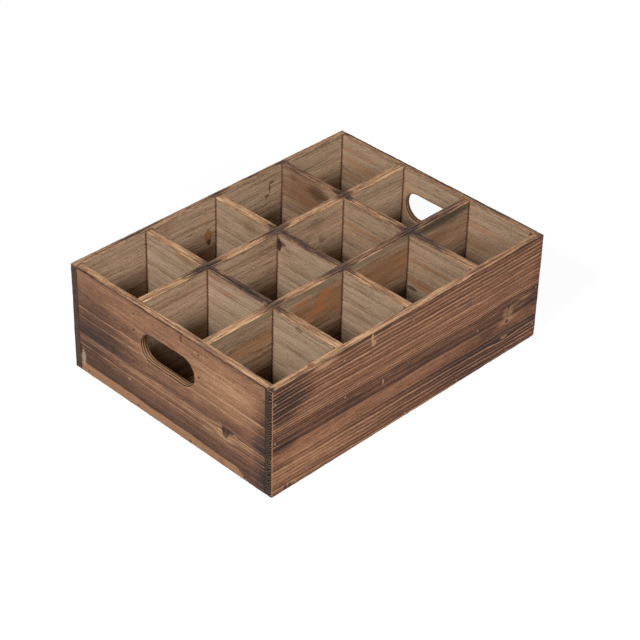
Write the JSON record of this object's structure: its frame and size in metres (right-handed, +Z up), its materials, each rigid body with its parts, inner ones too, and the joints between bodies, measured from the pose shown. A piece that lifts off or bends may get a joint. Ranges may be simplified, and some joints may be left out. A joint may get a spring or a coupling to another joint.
{
  "type": "wooden storage crate",
  "caption": "Low open-topped crate of scorched softwood with half-lapped dividers making a grid of square cells, and an oblong hand hole in each end.",
  "frame": {"origin": "middle of the underside", "axes": "+X along the crate's length, +Y across it towards the back side, +Z up"},
  "size_m": [0.4, 0.3, 0.132],
  "materials": {
    "scorched_side": "scorched and brushed fir, waxed",
    "scorched_end": "scorched and brushed fir, waxed",
    "divider_wood": "stained fir, lightly scorched along the upper edges",
    "bottom_wood": "plain stained wood",
    "nail_steel": "dull grey wire"
  },
  "bodies": {
    "root": {"front_side": "scorched_side", "back_side": "scorched_side", "left_end": "scorched_end", "right_end": "scorched_end", "bottom_board": "bottom_wood", "long_divider_1": "divider_wood", "long_divider_2": "divider_wood", "cross_divider_1": "divider_wood", "cross_divider_2": "divider_wood", "cross_divider_3": "divider_wood", "front_divider_nails": "nail_steel", "back_divider_nails": "nail_steel", "left_divider_nails": "nail_steel", "right_divider_nails": "nail_steel", "front_left_corner_nails": "nail_steel", "front_right_corner_nails": "nail_steel", "back_left_corner_nails": "nail_steel", "back_right_corner_nails": "nail_steel", "front_bottom_nails": "nail_steel", "back_bottom_nails": "nail_steel", "left_bottom_nails": "nail_steel", "right_bottom_nails": "nail_steel"}
  },
  "joints": []
}
